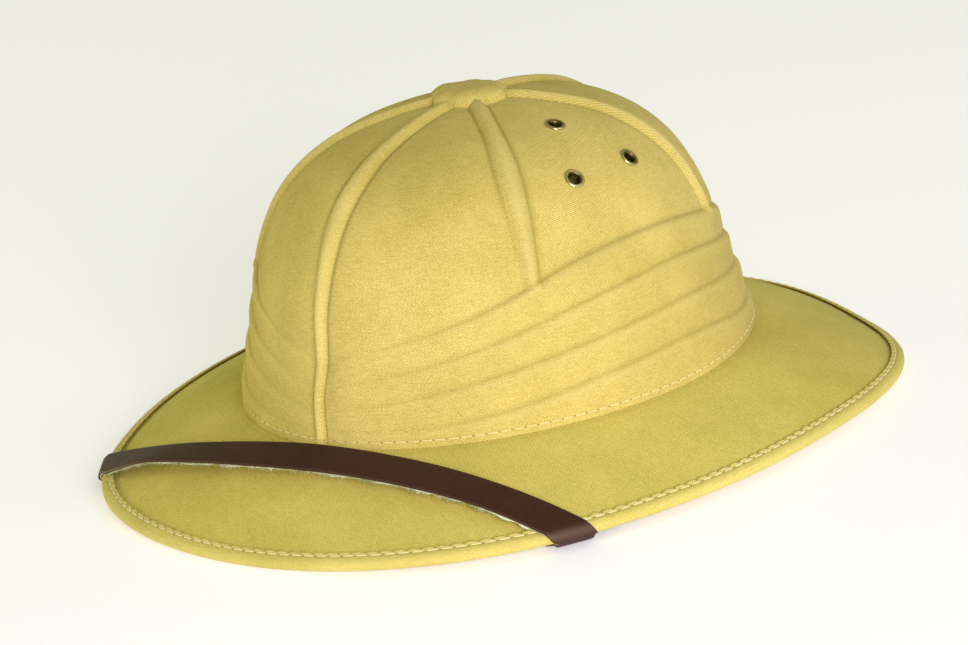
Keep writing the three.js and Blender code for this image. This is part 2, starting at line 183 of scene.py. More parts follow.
def dome_normal(angle, u):
    """The outward direction, made level towards the hem, where the relief spreads sideways."""
    round_ = dome_point(angle + 1, u) - dome_point(angle - 1, u)
    rising = dome_point(angle, u + 0.001) - dome_point(angle, np.maximum(0, u - 0.001))
    out = unit(np.cross(round_, rising))
    out[..., 2] *= smooth(dome_share(u)[0] / 0.3)
    out = unit(out)
    out[u > 0.999] = (0, 0, 1)
    return out


def wrap_line(line, angle):
    return wrap_height * round_table(WRAPS[line], angle, True)


crease_depth, crease_above, crease_below = 0.28, 1.2, 0.5  # beside each wrap's edge
hem_line, hem_groove, hem_width = 2.3, 0.3, 0.45  # the seam's stitches, above the brim
swing_high, swing_low, swing_spread = 3.2, 1.7, 20  # degrees, for the front rib
button_round, button_pull, pull_spread = 0.8, 1.0, 12  # the button's edge, drawn in at ribs
back_rib = rib_angles.index(180)


def wrap_flare(angle, height):
    """How far the shell has spread where the wraps are pressed smooth: all steps at the hem."""
    return len(WRAPS) * wrap_step * clamp01(1 - height / wrap_line("top", angle)) ** 1.15


def wrap_softness(angle):
    """The wraps are pressed smoother at the front, and quite smooth under the front rib."""
    turn = np.abs(turn_from(0, angle))
    return np.maximum(0.75 * (1 - smooth((turn - 4) / 42)), 1 - smooth((turn - 2.6) / 5))


def shoulder_of(edge, below):
    """How far under a wrap's edge its step is fully out."""
    return np.minimum(wrap_shoulder, 0.7 * (edge - below))


def wrap_relief(angle, height):
    """How far the wraps' steps have come out, with a soft crease above each."""
    relief, below = 0.0, 0.0
    soft = wrap_softness(angle)
    for line in WRAPS:
        edge = wrap_line(line, angle)
        out = clamp01((edge - height) / shoulder_of(edge, below))
        relief = relief + wrap_step * np.sin(np.pi / 2 * out)
        away = height - edge
        width = np.where(away > 0, crease_above, crease_below)
        relief = relief - crease_depth * np.exp(-((away / width) ** 2))
        below = edge
    return relief * (1 - soft) + wrap_flare(angle, height) * soft


def rib_half(u):
    """Half a rib's width: broadest high on the side, narrower lower down and at the button."""
    rise, _ = dome_share(u)
    low, high = smooth((rise - 0.05) / 0.45), smooth((rise - 0.45) / 0.4)
    top = smooth((rise - 0.86) / 0.12)
    return rib_width / 2 * (0.5 + 0.24 * low + 0.38 * high - 0.26 * top)


def rib_place(angle, u):
    """How far round from the nearest rib, in half widths of a rib, how much the rib shows, and
    how sharply its foot is creased: the side away from the front is the sharper one."""
    radius = np.maximum(side_radius(angle, u), button_radius)
    height = crown_height * dome_share(u)[0]
    covered = clamp01((wrap_line("top", angle) - height) / wrap_shoulder)
    turns = np.stack([turn_from(rib, angle) for rib in rib_angles])
    nearest = np.abs(turns).argmin(0)
    turn = np.take_along_axis(turns, nearest[None], 0)[0]
    across = radius * np.radians(np.abs(turn)) / rib_half(u)
    showing = np.where(nearest == 0, 1.0, 1 - covered)
    backwards = turn * np.where(nearest > back_rib, -1, 1) > 0
    upper = smooth((height - 0.6 * crown_height) / (0.3 * crown_height))
    sharp = np.where(backwards, 1.0, 0.25 + 0.6 * upper)
    return across, showing, sharp


def rib_relief(angle, u):
    across, showing, sharp = rib_place(angle, u)
    foot = 0.42 * sharp * np.exp(-(((across - 1.04) / 0.15) ** 2))
    crisp = np.cos(np.pi / 2 * clamp01(across)) ** 1.25
    gentle = np.cos(np.pi / 2 * clamp01(across / 1.25)) ** 2.1
    return showing * (rib_rise * (gentle + (crisp - gentle) * sharp) - foot)


def button_outline(angle):
    """The button's edge is drawn in where a rib runs out from under it."""
    turn = np.stack([np.abs(turn_from(rib, angle)) for rib in rib_angles]).min(0)
    return button_radius + button_round - button_pull * np.exp(-((turn / pull_spread) ** 2))


def button_relief(angle, u):
    inwards = clamp01((button_outline(angle) - side_radius(angle, u)) / (1.6 * button_edge))
    return 1.14 * button_rise * (1 - (1 - inwards) ** 2) ** 0.6


def front_swing(angle, u):
    """The front rib runs a little to the wearer's right as it rises, and the cloth with it."""
    rise = dome_share(u)[0]
    low = swing_low * (1 - smooth(rise / 0.65)) * smooth(rise / 0.2)
    return -(swing_high * rise + low) * np.exp(-((turn_from(0, angle) / swing_spread) ** 2))


def outer_point(angle, u):
    height = crown_height * dome_share(u)[0]
    rib, button = rib_relief(angle, u), button_relief(angle, u)
    raised = np.where(button > 0, np.maximum(rib, button), rib)
    hem = hem_groove * np.exp(-(((height - hem_line) / hem_width) ** 2))
    relief = raised + wrap_relief(angle, height) - hem
    place = angle + front_swing(angle, u)
    return dome_point(place, u) + dome_normal(place, u) * relief[..., None]


def inner_point(angle, u, gap=0.0):
    flare = wrap_flare(angle, crown_height * dome_share(u)[0])
    return dome_point(angle, u) + dome_normal(angle, u) * (flare - crown_wall - gap)[..., None]


def smooth_seam(angle):
    """The seam's radius without creases."""
    return side_radius(angle, np.zeros_like(angle)) + len(WRAPS) * wrap_step


def reach_at(angle):
    return brim_reach * round_table(BRIM_REACHES, angle)


def brim_point(angle, share):
    """The middle of the brim's thickness, from the seam (0) to the rim (1)."""
    start = seam_z - brim_thickness / 2
    drop = brim_drop * round_table(BRIM_DROPS, angle) - brim_thickness / 2
    point = polar_unit(angle) * (smooth_seam(angle) + reach_at(angle) * share)[..., None]
    point[..., 2] = start - drop * share + 4 * brim_bow * share * (1 - share)
    return point


def brim_frame(angle, share):
    """Unit vectors at a place on the brim: outwards, up and round."""
    out = unit(brim_point(angle, share + 0.01) - brim_point(angle, share - 0.01))
    round_ = unit(brim_point(angle + 1, share) - brim_point(angle - 1, share))
    up = unit(np.cross(out, round_))
    up = np.where(up[..., 2:] < 0, -up, up)
    across = unit(np.cross(round_, up))
    across = np.where((across * out).sum(-1, keepdims=True) < 0, -across, across)
    return across, up, round_


def on_brim(angle, share, height, outwards=0.0):
    angle, share, height, outwards = (
        np.asarray(x, float) for x in np.broadcast_arrays(angle, share, height, outwards)
    )
    across, up, _ = brim_frame(angle, share)
    return brim_point(angle, share) + up * height[..., None] + across * outwards[..., None]


# ---------------------------------------------------------------- meshes


def add_object(name, data):
    """A new object, put into the scene."""
    piece = bpy.data.objects.new(name, data)
    bpy.context.scene.collection.objects.link(piece)
    return piece


def mesh_object(name, points, faces, materials, face_material=None, uv=None, attributes=None,
                sharp=None):
    """points in millimetres; uv has one pair for each face corner, in metres."""
    mesh = bpy.data.meshes.new(name)
    mesh.from_pydata((np.asarray(points, float) * MM).tolist(), [], faces)
    for material in materials:
        mesh.materials.append(material)
    if face_material is not None:
        mesh.polygons.foreach_set("material_index", np.asarray(face_material, np.int32))
    if uv is not None:
        layer = mesh.uv_layers.new(name="weave")
        layer.uv.foreach_set("vector", np.asarray(uv, np.float32).ravel())
    for key, values in (attributes or {}).items():
        mesh.attributes.new(key, "FLOAT", "POINT").data.foreach_set(
            "value", np.asarray(values, np.float32)
        )
    mesh.shade_smooth()
    if sharp:
        mesh.set_sharp_from_angle(angle=math.radians(sharp))
    mesh.update()
    return add_object(name, mesh)


def grid_faces(rows, columns, closed_rows=False, start=0):
    """Faces between rows of points that go round; closed_rows joins the last row to the first."""
    r = np.arange(rows if closed_rows else rows - 1)[:, None]
    c = np.arange(columns)[None, :]
    here, there = r * columns, ((r + 1) % rows) * columns
    after = (c + 1) % columns
    quads = np.stack([here + c, here + after, there + after, there + c], -1)
    return (quads.reshape(-1, 4) + start).tolist()


def corners(here, beside):
    """Each quad's four corners, from rows of points' coordinates and of those beside them."""
    return np.stack([here[:-1], beside[:-1], beside[1:], here[1:]], 2)


def circle(count, radius=1.0):
    """The two coordinates of points on a circle."""
    turn = np.arange(count) * 2 * np.pi / count
    return radius * np.cos(turn), radius * np.sin(turn)


# A stitch's outline: shares of its length and of its radius.
STITCH = [
    (-0.5, 0.35), (-0.46, 0.75), (-0.38, 1), (0.0, 1.1), (0.38, 1), (0.46, 0.75), (0.5, 0.35),
]


def capsule(radius, length, around=8):
    """A thread's stitch along X: points and faces."""
    y, z = circle(around, radius)
    rings = [np.stack([np.full(around, x * length), r * y, r * z], -1) for x, r in STITCH]
    points = np.concatenate(rings)
    faces = grid_faces(len(rings), around)
    faces.append(list(range(around))[::-1])
    faces.append([(len(rings) - 1) * around + i for i in range(around)])
    return points, faces


def scatter(name, shape, places, axes, material):
    """Copies one shape to many places as one mesh. axes has three unit vectors for each place."""
    points, faces = shape
    every, joined = [], []
    for i, (place, (x, y, z)) in enumerate(zip(places, axes)):
        every.append(place + points[:, :1] * x + points[:, 1:2] * y + points[:, 2:] * z)
        joined += [[v + i * len(points) for v in face] for face in faces]
    return mesh_object(name, np.concatenate(every), joined, [material])


# ---------------------------------------------------------------- materials


class Shader:
    """A material made of nodes. Numbers and sockets are given alike."""

    def __init__(self, name):
        self.material = bpy.data.materials.new(name)
        self.material.use_nodes = True
        self.nodes, self.links = self.material.node_tree.nodes, self.material.node_tree.links
        self.nodes.clear()
        self.surface = self.nodes.new("ShaderNodeBsdfPrincipled")
        output = self.nodes.new("ShaderNodeOutputMaterial")
        self.links.new(self.surface.outputs[0], output.inputs[0])

    def put(self, socket, value):
        if isinstance(value, bpy.types.NodeSocket):
            self.links.new(value, socket)
        else:
            socket.default_value = value

    def node(self, kind, **inputs):
        node = self.nodes.new("ShaderNode" + kind)
        for name, value in inputs.items():
            self.put(node.inputs[name], value)
        return node

    def math(self, operation, *values):
        node = self.nodes.new("ShaderNodeMath")
        node.operation = operation
        for socket, value in zip(node.inputs, values):
            self.put(socket, value)
        return node.outputs[0]

    def noise(self, vector, scale, detail=2.0, rough=0.5):
        node = self.node("TexNoise", Vector=vector, Scale=scale, Detail=detail, Roughness=rough)
        return node.outputs["Fac"]

    def mapping(self, vector, scale):
        return self.node("Mapping", Vector=vector, Scale=scale).outputs[0]

    def ramp(self, value, low, high, to_low=0.0, to_high=1.0):
        node = self.nodes.new("ShaderNodeMapRange")
        for socket, x in zip(node.inputs, (value, low, high, to_low, to_high)):
            self.put(socket, x)
        return node.outputs[0]

    def mix(self, share, a, b):
        node = self.nodes.new("ShaderNodeMix")
        node.data_type = "RGBA"
        self.put(node.inputs[0], share)
        self.put(node.inputs[6], a)
        self.put(node.inputs[7], b)
        return node.outputs[2]

    def attribute(self, name):
        node = self.nodes.new("ShaderNodeAttribute")
        node.attribute_name = name
        return node.outputs["Fac"]

    def object_place(self):
        return self.node("TexCoord").outputs["Object"]

    def uv(self):
        node = self.nodes.new("ShaderNodeUVMap")
        node.uv_map = "weave"
        return node.outputs[0]

    def parts(self, vector):
        return self.node("SeparateXYZ", Vector=vector).outputs

    def bump(self, height, distance, strength=1.0, normal=None):
        under = {} if normal is None else {"Normal": normal}
        node = self.node("Bump", Strength=strength, Distance=distance, Height=height, **under)
        return node.outputs[0]

    def finish(self, **inputs):
        for name, value in inputs.items():
            self.put(self.surface.inputs[name.replace("_", " ")], value)
        return self.material


def rgb(r, g, b):
    return (r, g, b, 1.0)


yarn_pitch = 0.42
speckled = 0.24
# Colours mixed in by the attribute: lighter for wear and painted highlight, darker for painted
# shade.
worn_and_highlight, shaded = (0.94, 0.84, 0.4), (0.36, 0.3, 0.05)


def twill(name, light, dark, pitch=0.76, contrast=0.27):
    """Cotton twill: diagonal ridges of the weave, uneven yarn, raised places lighter for wear and
    painted highlight, painted shade in creases.
    """
    s = Shader(name)
    uv, place = s.uv(), s.object_place()
    u, v, _ = s.parts(uv)
    ridge_turn = 2 * math.pi / (pitch * MM * math.sqrt(2))
    yarn_turn = 2 * math.pi / (yarn_pitch * MM)
    along = s.math("ADD", u, v)
    wobble = s.noise(place, 900, 2.0)
    phase = s.math("MULTIPLY_ADD", along, ridge_turn, s.math("MULTIPLY", wobble, 1.6))
    ridge = s.math("MULTIPLY_ADD", s.math("SINE", phase), 0.5, 0.5)
    yarn = s.math("MULTIPLY_ADD", s.math("SINE", s.math("MULTIPLY", u, yarn_turn)), 0.5, 0.5)
    weave = s.math("MULTIPLY_ADD", yarn, 0.3, s.math("MULTIPLY", ridge, 0.7))
    slub = s.noise(s.mapping(uv, (260, 1500, 1)), 1.0, 1.0)
    blotch = s.noise(place, 34, 3.0, 0.55)
    cloudy = s.noise(place, 9, 1.0)
    share = s.math("MULTIPLY_ADD", weave, contrast, s.math("MULTIPLY", slub, 0.45))
    speckle = s.noise(place, 2300, 1.0)
    share = s.math("ADD", share, s.ramp(speckle, 0.25, 0.75, -speckled, speckled))
    share = s.math("ADD", share, s.ramp(blotch, 0.3, 0.7, -0.16, 0.16))
    share = s.math("ADD", share, s.ramp(cloudy, 0.35, 0.65, -0.08, 0.08))
    colour = s.mix(s.ramp(share, -0.07, 0.93), rgb(*dark), rgb(*light))
    # The attribute lightens raised places for wear and painted highlight, and darkens creases,
    # pinches and joins with painted shade.
    wear_and_painted_light = s.attribute("wear_and_painted_light")
    colour = s.mix(s.ramp(wear_and_painted_light, 0.0, 1.0, 0.0, 0.45), colour, rgb(*worn_and_highlight))
    colour = s.mix(s.ramp(wear_and_painted_light, 0.0, -1.0, 0.0, 0.75), colour, rgb(*shaded))
    fuzz = s.noise(place, 2600, 2.0)
    height = s.math("MULTIPLY_ADD", fuzz, 0.3, weave)
    height = s.math("MULTIPLY_ADD", speckle, 1.1, height)
    normal = s.bump(s.noise(place, 60, 2.0), 0.0012, 0.12, s.bump(height, 0.0002, 0.85))
    return s.finish(
        Base_Color=colour,
        Roughness=s.ramp(weave, 0, 1, 0.92, 0.78),
        Normal=normal,
        Sheen_Weight=0.06,
        Sheen_Roughness=0.45,
        Specular_IOR_Level=0.22,
    )


def thread(name, colour):
    s = Shader(name)
    place = s.object_place()
    strands = s.noise(place, 3000, 2.0)
    shade = s.mix(s.ramp(strands, 0.3, 0.7), rgb(*[c * 0.72 for c in colour]), rgb(*colour))
    return s.finish(
        Base_Color=shade, Roughness=0.8, Sheen_Weight=0.1, Normal=s.bump(strands, 0.0001, 0.5),
    )


def leather(name):
    """Dark brown coated leather with fine pores and creases across it."""
    s = Shader(name)
    uv, place = s.uv(), s.object_place()
    pores = s.node("TexVoronoi", Vector=place, Scale=1500)
    grain = s.noise(place, 700, 3.0, 0.6)
    cloudy = s.noise(place, 45, 2.0)
    creases = s.noise(s.mapping(uv, (90, 14, 1)), 1.0, 3.0, 0.6)
    tone = s.math("MULTIPLY_ADD", grain, 0.5, s.math("MULTIPLY", cloudy, 0.5))
    colour = s.mix(s.ramp(tone, 0.3, 0.7), rgb(0.032, 0.0094, 0.006), rgb(0.06, 0.0182, 0.0118))
    # Lighter along the top edges for wear, and along each fold round the brim's edge as a painted
    # highlight.
    wear_and_painted_light = s.attribute("wear_and_painted_light")
    colour = s.mix(s.ramp(wear_and_painted_light, 0.0, 1.0, 0.0, 0.55), colour, rgb(0.21, 0.13, 0.095))
    height = s.math("MULTIPLY_ADD", pores.outputs["Distance"], 0.6, grain)
    normal = s.bump(creases, 0.0006, 0.18, s.bump(height, 0.00009, 0.45))
    return s.finish(
        Base_Color=colour,
        Roughness=s.ramp(grain, 0.3, 0.7, 0.38, 0.52),
        Normal=normal,
        Specular_IOR_Level=0.24,
    )


def felt(name, colour):
    """The strap's pale fibrous backing, where its cut edge shows."""
    s = Shader(name)
    place = s.object_place()
    fibres = s.noise(place, 1300, 4.0, 0.65)
    patches = s.noise(place, 160, 2.0)
    tone = s.mix(s.ramp(fibres, 0.32, 0.68), rgb(*[c * 0.6 for c in colour]), rgb(*colour))
    tone = s.mix(s.ramp(patches, 0.42, 0.62), tone, rgb(0.42, 0.44, 0.2))
    return s.finish(Base_Color=tone, Roughness=0.95, Normal=s.bump(fibres, 0.0003, 0.7))


def brass(name):
    """Aged brass: dark patina in the hollows, rubbed bright on the rolled edge."""
    s = Shader(name)
    place = s.object_place()
    patina = s.noise(place, 900, 3.0, 0.6)
    # For the eyelets this attribute holds only rubbed wear.
    wear_and_painted_light = s.attribute("wear_and_painted_light")
    tone = s.mix(s.ramp(patina, 0.35, 0.65), rgb(0.09, 0.066, 0.025), rgb(0.24, 0.17, 0.06))
    colour = s.mix(s.ramp(wear_and_painted_light, 0.15, 0.85), tone, rgb(0.8, 0.64, 0.32))
    return s.finish(
        Base_Color=colour,
        Metallic=1.0,
        Roughness=s.ramp(wear_and_painted_light, 0.2, 1.0, 0.42, 0.22),
        Normal=s.bump(patina, 0.00012, 0.3),
    )


crown_cloth = twill("crown twill", (0.91, 0.72, 0.24), (0.48, 0.375, 0.072))
inner_cloth = twill("crown lining side", (0.6, 0.5, 0.2), (0.4, 0.33, 0.1), contrast=0.4)
brim_cloth = twill("brim twill", (0.94, 0.78, 0.22), (0.56, 0.465, 0.078))
tape_cloth = twill("binding twill", (0.94, 0.79, 0.25), (0.58, 0.48, 0.1), pitch=0.6)
sewing_thread = thread("sewing thread", (0.95, 0.84, 0.42))
strap_leather = leather("strap leather")
backing_felt = felt("strap backing", (0.95, 0.94, 0.7))
aged_brass = brass("aged brass")
# Dark colour of the needle holes: painted shade for the holes in the cloth.
needle_hole_shade = thread("needle holes", (0.3, 0.24, 0.07))

# ---------------------------------------------------------------- the crown

rib_cuts = np.array([-1.25, -1.14, -1.06, -1.0, -0.94, -0.86, -0.75, -0.6, -0.44, -0.27, -0.1])
rib_cuts = np.concatenate([rib_cuts, -rib_cuts[::-1]])
ribs = np.array(rib_angles, float)
panel_cuts = 42


def row_angles(rib_u):
    """One row's angles: each rib is cut finely at any height, and the panels evenly between."""
    angles = []
    halves = np.degrees(rib_half(rib_u) / np.maximum(side_radius(ribs, rib_u), button_radius))
    for i, rib in enumerate(rib_angles):
        angles += list(rib + rib_cuts * halves[i])
        after = (i + 1) % len(rib_angles)
        start = rib + rib_cuts[-1] * halves[i]
        end = (360 if after == 0 else 0) + rib_angles[after] - rib_cuts[-1] * halves[after]
        angles += list(start + (end - start) * np.arange(1, panel_cuts) / panel_cuts)
    return np.array(angles)


top_at_ribs = u_at_height(wrap_line("top", ribs))
wrap_angles = row_angles(top_at_ribs)
columns = len(wrap_angles)

# Rows over the wraps: close together at each crease and shoulder.
heights = [np.full(columns, h) for h in (0, 0.5, 1.0, 1.5, 1.85, 2.1, 2.3, 2.5, 2.75, 3.1, 3.6)]
below = np.zeros(columns)
for line in WRAPS:
    edge = wrap_line(line, wrap_angles)
    shoulder = shoulder_of(edge, below)
    for share in (1, 0.8, 0.62, 0.46, 0.34, 0.24, 0.16, 0.08, 0):
        heights.append(edge - share * shoulder)
    for rise in (0.3, 0.7, 1.2, 1.8, 2.6):
        if line != "top":
            heights.append(edge + rise * np.minimum(1, (edge - below) / 8))
    for share in (0.25, 0.5, 0.75):
        heights.append(below + share * (edge - shoulder - below) + 0.4)
    below = edge
heights = np.sort(np.stack(heights), 0)
rows = [(wrap_angles, u_at_height(h)) for h in heights]

dome_cuts = 58
foot_at_ribs = u_at_radius(ribs, np.full(len(ribs), button_radius + 1.2))
for k in range(1, dome_cuts + 1):
    share = (k / dome_cuts) ** 0.97
    angles = row_angles(top_at_ribs + (foot_at_ribs - top_at_ribs) * share)
    start = u_at_height(wrap_line("top", angles))
    end = u_at_radius(angles, button_outline(angles) + 0.4)
    gap = (end - start) * share
    first = u_at_height(wrap_line("top", angles) + 0.3) - start
    rows.append((angles, start + np.maximum(gap, first * k)))
pad_cuts = (-0.1, 0.1, 0.35, 0.7, 1.1, 1.6, 2.2, 2.9, 3.7, 4.6, 5.6, 7.2, 9.5, 12.5)
for inwards in pad_cuts:
    angles = row_angles(u_at_radius(ribs, np.full(len(ribs), button_radius)))
    radius = np.maximum(button_outline(angles) - inwards, 0.6)
    rows.append((angles, u_at_radius(angles, radius)))

outer_rings = np.stack([outer_point(a, u) for a, u in rows])
# The hem stands on the brim, also where the front rib carries it outwards.
hem_gap = 0.05
hem_out = np.hypot(outer_rings[0, :, 0], outer_rings[0, :, 1]) - smooth_seam(wrap_angles)
hem_share = np.maximum(hem_out / reach_at(wrap_angles), 0)
hem_top = on_brim(wrap_angles, hem_share, brim_thickness / 2)[:, 2]
outer_rings[0, :, 2] = np.minimum(seam_z, hem_top) + hem_gap

inner_cuts = 26
inner_u = np.outer(np.arange(inner_cuts + 1), np.full(columns, foot_at_ribs.mean())) / inner_cuts
inner_rings = np.stack([inner_point(wrap_angles, u) for u in inner_u])
inner_rings[0, :, 2] = seam_z + hem_gap
rings = np.concatenate([inner_rings[::-1], outer_rings])
ring_count = len(rings)
crown_points = np.concatenate([
    rings.reshape(-1, 3),
    inner_point(np.zeros(1), np.ones(1)),
    outer_point(np.zeros(1), np.ones(1)),
])
crown_faces = grid_faces(ring_count, columns)
inner_pole, outer_pole = ring_count * columns, ring_count * columns + 1
last = (ring_count - 1) * columns
for i in range(columns):
    after = (i + 1) % columns
    crown_faces.append([inner_pole, after, i])
    crown_faces.append([outer_pole, last + i, last + after])

# The weave runs round and up each panel between two ribs.
ring_u = np.concatenate([inner_u[::-1], np.stack([u for _, u in rows])])
ring_angle = np.concatenate([
    np.tile(wrap_angles, (inner_cuts + 1, 1)),
    np.stack([a for a, _ in rows]),
])
per_rib = len(rib_cuts) + panel_cuts - 1
half_rib = len(rib_cuts) // 2
middles = (ribs + np.append(ribs[1:], 360)) / 2
panel_of = ((np.arange(columns) - half_rib) // per_rib) % len(rib_angles)
middle_of = middles[panel_of]


def weave_at(column_from, column):
    """The cloth's own coordinates, in metres, seen from the panel that a face belongs to."""
    middle = middle_of[column_from]
    angle = ring_angle[:, column]
    turn = turn_from(middle, angle)
    u = ring_u[:, column]
    across = np.radians(turn) * side_radius(middle + 0 * angle, u)
    return np.stack([across, np.interp(u, fine_u, fine_arc)], -1) * MM


here_uv = weave_at(np.arange(columns), np.arange(columns))
next_uv = weave_at(np.arange(columns), (np.arange(columns) + 1) % columns)
crown_uv = corners(here_uv, next_uv)
# Over the button it lies flat.
flat_uv = rings[:, :, :2] * MM
flat_uv = corners(flat_uv, np.roll(flat_uv, -1, 1))
crown_uv[-len(pad_cuts):] = flat_uv[-len(pad_cuts):]
pole_uv = np.zeros((columns, 2, 3, 2))
pole_uv[:, 0, 1] = 0.002
pole_uv[:, 1, 1:] = flat_uv[-1][:, [3, 2]]
pole_uv[:, 1, 0] = crown_points[outer_pole, :2] * MM
crown_uv = np.concatenate([crown_uv.reshape(-1, 2), pole_uv.reshape(-1, 2)])

# Wear and painted light: lighter on ribs and shoulders, partly wear and partly painted highlight,
# and painted shade in the creases.
wear_rows = [np.zeros((inner_cuts + 1, columns))]
for a, u in rows:
    height = crown_height * dome_share(u)[0]
    across, showing, sharp = rib_place(a, u)
    showing = showing * (1 - button_relief(a, u) / button_rise)
    faded_and_highlit = 0.4 * showing * np.cos(np.pi / 2 * clamp01(across)) ** 2
    # Painted shade at each rib's foot, strongest on the side away from the front.
    dark = 0.9 * showing * sharp * np.exp(-(((across - 1.05) / 0.16) ** 2))
    stepped = 1 - wrap_softness(a)
    # Painted shade in the crease at each wrap's edge, and a lighter shoulder under it, partly wear
    # and partly painted highlight.
    for line in WRAPS:
        away = height - wrap_line(line, a)
        width = np.where(away > 0, 1.0, 0.4)
        dark = np.maximum(dark, 0.42 * stepped * np.exp(-((away / width) ** 2)))
        faded_and_highlit = np.maximum(faded_and_highlit, 0.3 * stepped * np.exp(-(((away + 1.7) / 0.9) ** 2)))
    # Painted shade just outside the button's edge, and its rounded edge lighter, partly wear and
    # partly painted highlight.
    lip = side_radius(a, u) - button_outline(a)
    dark = np.maximum(dark, 0.45 * np.exp(-(((lip - 0.25) / 0.4) ** 2)))
    faded_and_highlit = np.maximum(faded_and_highlit, 0.3 * np.exp(-(((lip + 1.6) / 0.9) ** 2)))
    wear_rows.append((faded_and_highlit - dark)[None])
crown_wear_and_painted_light = np.concatenate([np.concatenate(wear_rows).ravel(), [0, 0.2]])

inner_faces = inner_cuts * columns
crown_material = np.zeros(len(crown_faces), int)
crown_material[:inner_faces] = 1
crown_material[-2 * columns :: 2] = 1

crown = mesh_object(
    "crown_shell", crown_points, crown_faces, [crown_cloth, inner_cloth], crown_material,
    crown_uv, {"wear_and_painted_light": crown_wear_and_painted_light},
)


def seats():
    for side in ("left", "right"):
        for i, (angle, rise) in enumerate(EYELETS, 1):
            height = rise * crown_height
            if side == "right":
                angle, height = -angle - eyelet_set_back, height - eyelet_set_low
            a, u = np.array([float(angle)]), u_at_height(np.array([height]))
            yield f"{side}_{i}", dome_point(a, u)[0], dome_normal(a, u)[0]


def upright(normal):
    """A turn that carries +Z to a normal."""
    return Vector(normal).to_track_quat("Z", "Y").to_matrix()


def lathe(profile, around):
    """Points and faces of a closed profile of (radius, height) turned about Z."""
    x, y = circle(around)
    ring = [np.stack([r * x, r * y, np.full(around, z)], -1) for r, z in profile]
    return np.concatenate(ring), grid_faces(len(profile), around, True)


# The shell is bored through for the eyelets.
bore_points, bore_faces = [], []
bore, bore_sides, bore_ends = 2.75, 24, (-9.0, 5.0)
for _, at, normal in seats():
    base = len(bore_points)
    turn = np.array(upright(normal))
    for z in bore_ends:
        ring = np.stack([*circle(bore_sides, bore), np.full(bore_sides, z)], -1)
        bore_points += list(at + ring @ turn.T)
    bore_faces += grid_faces(2, bore_sides, start=base)
    bore_faces.append([base + i for i in range(bore_sides)][::-1])
    bore_faces.append([base + bore_sides + i for i in range(bore_sides)])
bores = mesh_object("bores", bore_points, bore_faces, [crown_cloth])
cut = crown.modifiers.new("bores", "BOOLEAN")
cut.operation, cut.object, cut.solver = "DIFFERENCE", bores, "EXACT"
graph = bpy.context.evaluated_depsgraph_get()
bored = bpy.data.meshes.new_from_object(crown.evaluated_get(graph))
crown.modifiers.clear()
crown.data = bored
bpy.data.objects.remove(bores)
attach(crown, "root")
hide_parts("crown")

# ---------------------------------------------------------------- the brim

brim_columns = 480
brim_angles = np.arange(brim_columns) * 360 / brim_columns
half = brim_thickness / 2
collar_u = u_at_height(np.full(brim_columns, float(collar_height)))
zero = np.zeros(brim_columns)


def at_height(points, z):
    points = points.copy()
    points[:, 2] = z
    return points


seam_ring = polar_unit(brim_angles) * smooth_seam(brim_angles)[:, None]
top_shares = np.linspace(0, 1, 30)[1:]
bottom_shares = np.linspace(1, 0, 22)[:-1]
panel_end = (binding_width + 1.8) / reach_at(brim_angles)
sections = [
    at_height(inner_point(brim_angles, collar_u, fit + collar_thickness), seam_z + collar_height),
    at_height(inner_point(brim_angles, collar_u, fit), seam_z + collar_height),
    at_height(inner_point(brim_angles, zero, fit), seam_z),
    at_height(seam_ring, seam_z - 0.02),
]
uneven_rise = 0.22
slow, quick = np.radians(brim_angles * 5 + 40), np.radians(brim_angles * 11 + 90)
uneven = uneven_rise * (np.sin(slow) + 0.6 * np.sin(quick))
for share in top_shares:
    swell = uneven * math.sin(math.pi * share) ** 1.5
    sections.append(on_brim(brim_angles, share * (1 - panel_end), half + swell))
tucked = (
    (-binding_width - 0.9, 0.12), (-binding_width, 0.3), (-binding_width * 0.6, 0.15), (-fit, 0),
)
for outwards, sunk in tucked:
    sections.append(on_brim(brim_angles, 1, half - sunk, outwards))
for outwards in (-fit, -binding_width * 0.6):
    sections.append(on_brim(brim_angles, 1, -half, outwards))
for share in bottom_shares:
    sections.append(on_brim(brim_angles, share * (1 - panel_end), -half))
sections += [
    at_height(seam_ring, seam_z - brim_thickness),
    at_height(inner_point(brim_angles, zero, fit + collar_thickness), seam_z - brim_thickness),
]
brim_rings = np.stack(sections)
brim_rows = len(brim_rings)
# The cloth lies flat on the brim, so its weave keeps one direction as seen from above.
plan = np.concatenate([brim_rings, brim_rings[:1]])[:, :, :2] * MM
brim_uv = corners(plan, np.roll(plan, -1, 1))
# Painted shade on the brim round the foot of the crown.
brim_painted_shade = np.zeros((brim_rows, brim_columns))
brim_painted_shade[4] = -0.25  # painted shade beside the crown's hem
brim_painted_shade[5:8] = -0.06
brim = mesh_object(
    "brim_panel", brim_rings.reshape(-1, 3), grid_faces(brim_rows, brim_columns, True),
    [brim_cloth], None, brim_uv.reshape(-1, 2), {"wear_and_painted_light": brim_painted_shade.ravel()}, sharp=50,
)
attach(brim, "root")
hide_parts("brim")

# ---------------------------------------------------------------- the binding

# Angles at even steps along the rim, so that every stitch is as long as the next.
fine_angle = np.linspace(0, 360, 3601)
rim = brim_point(fine_angle, np.ones_like(fine_angle))
rim_length = run_length(rim)


def even_angles(count, length, offset=0.0):
    """Angles at even steps of a length that is known at fine_angle."""
    return np.interp((np.arange(count) + offset) / count * length[-1], length, fine_angle)


stitch_pitch = 4.7
stitches = round(rim_length[-1] / stitch_pitch)
per_stitch = 8
tape_columns = stitches * per_stitch
along_rim = np.arange(tape_columns) / tape_columns * rim_length[-1]
tape_angles = even_angles(tape_columns, rim_length)
stitch_phase = np.arange(tape_columns) / per_stitch

